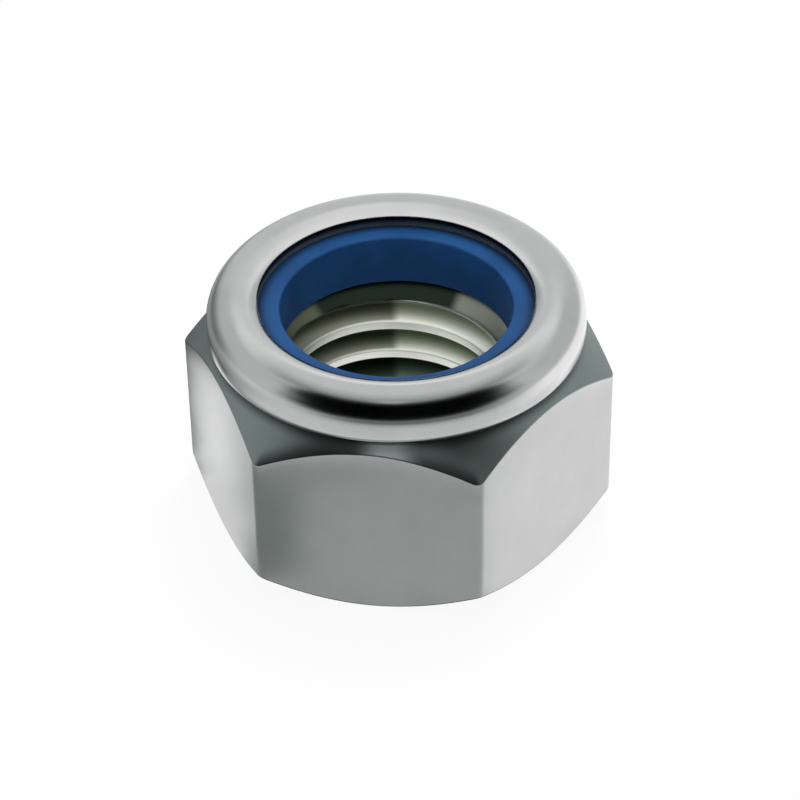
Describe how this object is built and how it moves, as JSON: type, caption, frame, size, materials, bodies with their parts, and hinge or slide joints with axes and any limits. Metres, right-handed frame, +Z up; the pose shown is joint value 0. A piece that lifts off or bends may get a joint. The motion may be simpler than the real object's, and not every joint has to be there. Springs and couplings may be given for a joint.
{
  "type": "nylon insert lock nut",
  "caption": "Hexagon lock nut, chamfered top and bottom, with a rolled collar that holds a blue nylon locking ring above its M12 thread.",
  "frame": {"origin": "centre of the bearing face, on the thread's axis", "axes": "+Z up along the thread's axis, from the bearing face to the nylon ring; +X through a corner of the hexagon; +Y square to a flat"},
  "size_m": [0.0206, 0.018, 0.012],
  "materials": {
    "plated_steel": "bright satin plating, smoother on the rolled collar than on the flats and chamfers",
    "blue_nylon": "satin moulded nylon, mid blue"
  },
  "bodies": {
    "root": {"nut_body": "plated_steel", "nylon_insert": "blue_nylon"}
  },
  "joints": []
}
